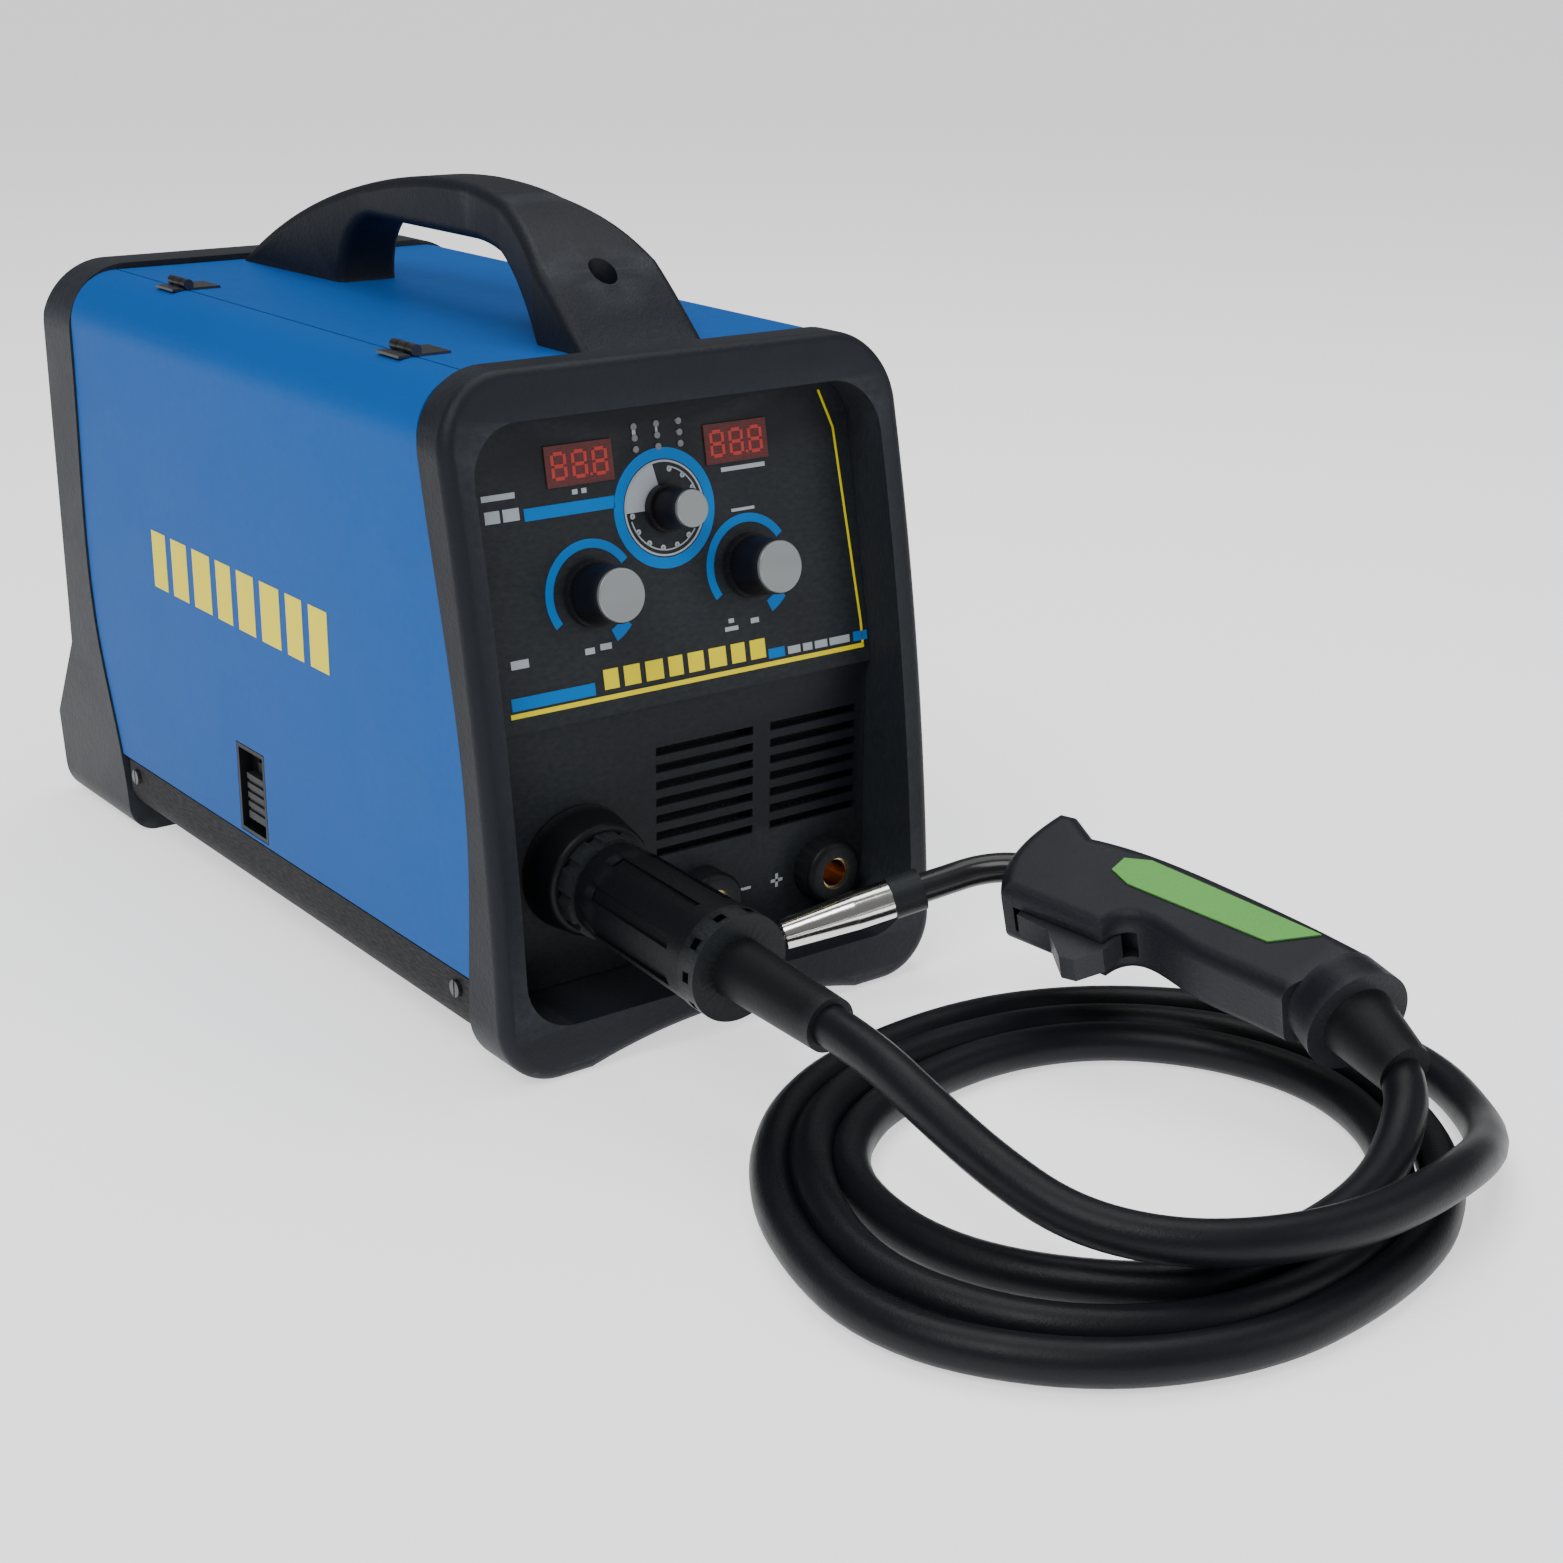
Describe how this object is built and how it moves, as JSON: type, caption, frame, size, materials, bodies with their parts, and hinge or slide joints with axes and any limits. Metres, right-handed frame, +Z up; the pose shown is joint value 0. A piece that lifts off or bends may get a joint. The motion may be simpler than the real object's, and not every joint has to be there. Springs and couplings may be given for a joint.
{
  "type": "portable wire welder",
  "caption": "Free-standing portable wire welder with a hinged side door, carry handle, front controls and a coiled torch cable lying in front.",
  "frame": {"origin": "On the floor under the middle of the case", "axes": "+X to the right seen from the front, -Y towards the front controls, +Z up"},
  "size_m": [0.3534, 0.8475, 0.366],
  "materials": {
    "frame_plastic": "dark blue-grey grained plastic",
    "panel_plastic": "dark panel with printed graphics",
    "blue_paint": "blue gloss enamel",
    "black_paint": "black powder coat",
    "zinc_sheet": "zinc plated sheet",
    "screw_steel": "plated steel",
    "display_red": "dark red window",
    "lamp_clear": "small coloured lamps",
    "knob_black": "black knob",
    "knob_grey": "grey knob cap",
    "black_plastic": "black moulded plastic",
    "brass": "turned brass",
    "cable_rubber": "black cable jacket",
    "boot_rubber": "black flexible boot",
    "torch_plastic": "black torch body",
    "torch_green": "green soft strip",
    "nozzle_chrome": "chromed nozzle",
    "copper_tip": "copper contact tip",
    "neck_black": "insulated neck",
    "spool_plastic": "black spool",
    "wire_copper": "copper coated steel wire",
    "cast_grey": "die-cast drive plate",
    "motor_black": "black motor shell",
    "steel_roll": "hardened roll",
    "finned_aluminium": "extruded heat sink",
    "core_dark": "ferrite core and winding",
    "fan_black": "black fan",
    "switch_red": "red rocker"
  },
  "bodies": {
    "case": {"front_bezel": "frame_plastic", "rear_bezel": "frame_plastic", "base_tray": "black_paint", "case_cover": "blue_paint", "chassis_front": "zinc_sheet", "divider": "zinc_sheet", "rear_panel": "black_paint", "case_screws": "screw_steel", "control_panel": "panel_plastic", "displays": "display_red", "indicator_lamps": "lamp_clear", "lower_panel": "panel_plastic", "socket_collar": "black_plastic", "gun_socket": "brass", "connector_grip": "black_plastic", "connector_boot": "boot_rubber", "cable_loose": "cable_rubber", "cable_coil": "cable_rubber", "carry_handle": "frame_plastic", "spool_hub": "spool_plastic", "feed_plate": "cast_grey", "feed_motor": "motor_black", "heatsink": "finned_aluminium", "transformer": "core_dark", "fan_frame": "fan_black", "power_switch": "black_plastic", "mains_gland": "black_plastic", "gas_fitting": "brass", "pole_shells": "black_plastic", "pole_brass": "brass", "hinge_fixed": "screw_steel", "torch_handle": "torch_plastic", "torch_inlay": "torch_green", "torch_collar": "torch_plastic", "torch_boot": "boot_rubber", "torch_neck": "neck_black", "torch_insulator": "black_plastic", "torch_nozzle": "nozzle_chrome", "torch_tip": "copper_tip"},
    "door": {"side_door": "blue_paint", "hinge_door": "screw_steel", "latch_cup": "black_plastic"},
    "latch": {"latch_slide": "black_plastic"},
    "left_knob": {"knob_left": "knob_black", "knob_cap_left": "knob_grey"},
    "right_knob": {"knob_right": "knob_black", "knob_cap_right": "knob_grey"},
    "centre_knob": {"knob_centre": "knob_black", "knob_cap_centre": "knob_grey"},
    "spool": {"wire_spool": "spool_plastic", "wire_winding": "wire_copper"},
    "spool_lock": {"spool_nut": "knob_black"},
    "drive": {"drive_roll": "steel_roll"},
    "arm": {"pressure_arm": "cast_grey"},
    "top_roll": {"pressure_roll": "steel_roll"},
    "tension": {"tension_knob": "knob_black"},
    "fan": {"fan_rotor": "fan_black"},
    "rocker": {"switch_rocker": "switch_red"},
    "gun_nut": {"connector_nut": "black_plastic"},
    "trigger": {"torch_trigger": "torch_plastic"}
  },
  "joints": [
    {"name": "door_hinge", "type": "hinge", "parent": "case", "child": "door", "pos_m": [-0.092, -0.0135, 0.3069], "axis": [0, 1, 0], "range_deg": [0, 105]},
    {"name": "latch_travel", "type": "slide", "parent": "door", "child": "latch", "axis": [0, 0, 1], "range_m": [0, 0.008], "stiffness_N_per_m": 60, "springref_m": -0.004},
    {"name": "left_dial", "type": "hinge", "parent": "case", "child": "left_knob", "pos_m": [-0.0429, -0.20008, 0.20406], "axis": [0, -0.9829, 0.184], "range_deg": [-140, 140]},
    {"name": "right_dial", "type": "hinge", "parent": "case", "child": "right_knob", "pos_m": [0.0429, -0.20008, 0.20406], "axis": [0, -0.9829, 0.184], "range_deg": [-140, 140]},
    {"name": "centre_dial", "type": "hinge", "parent": "case", "child": "centre_knob", "pos_m": [0, -0.1942, 0.23552], "axis": [0, -0.9829, 0.184], "range_deg": [-150, 150]},
    {"name": "spool_turn", "type": "hinge", "parent": "case", "child": "spool", "pos_m": [-0.05, 0.0845, 0.1663], "axis": [1, 0, 0], "continuous": true},
    {"name": "spool_nut_turn", "type": "hinge", "parent": "case", "child": "spool_lock", "pos_m": [-0.08, 0.0845, 0.1663], "axis": [1, 0, 0], "continuous": true},
    {"name": "drive_turn", "type": "hinge", "parent": "case", "child": "drive", "pos_m": [-0.057, -0.1075, 0.0651], "axis": [1, 0, 0], "continuous": true},
    {"name": "arm_lift", "type": "hinge", "parent": "case", "child": "arm", "pos_m": [-0.057, -0.0735, 0.0979], "axis": [1, 0, 0], "range_deg": [-60, 0]},
    {"name": "top_roll_turn", "type": "hinge", "parent": "arm", "child": "top_roll", "pos_m": [-0.057, -0.1075, 0.0959], "axis": [1, 0, 0], "continuous": true},
    {"name": "tension_turn", "type": "hinge", "parent": "arm", "child": "tension", "pos_m": [-0.057, -0.1195, 0.1259], "axis": [0, 0, 1], "continuous": true},
    {"name": "fan_turn", "type": "hinge", "parent": "case", "child": "fan", "pos_m": [0.044, 0.1785, 0.112], "axis": [0, 1, 0], "continuous": true},
    {"name": "power_rocker", "type": "hinge", "parent": "case", "child": "rocker", "pos_m": [0.06, 0.1965, 0.225], "axis": [0, 0, 1], "range_deg": [-18, 0]},
    {"name": "gun_nut_turn", "type": "hinge", "parent": "case", "child": "gun_nut", "pos_m": [-0.057, -0.2315, 0.07932], "axis": [0, -0.9989, -0.0471], "continuous": true},
    {"name": "trigger_pull", "type": "hinge", "parent": "case", "child": "trigger", "pos_m": [0.09851, -0.34183, 0.06195], "axis": [-0.3331, -0.1557, 0.9299], "range_deg": [0, 6], "stiffness_Nm_per_rad": 1.2, "springref_deg": -8.59}
  ],
  "couplings": [
    {"joint": "top_roll_turn", "follows": "drive_turn", "ratio": -1}
  ]
}
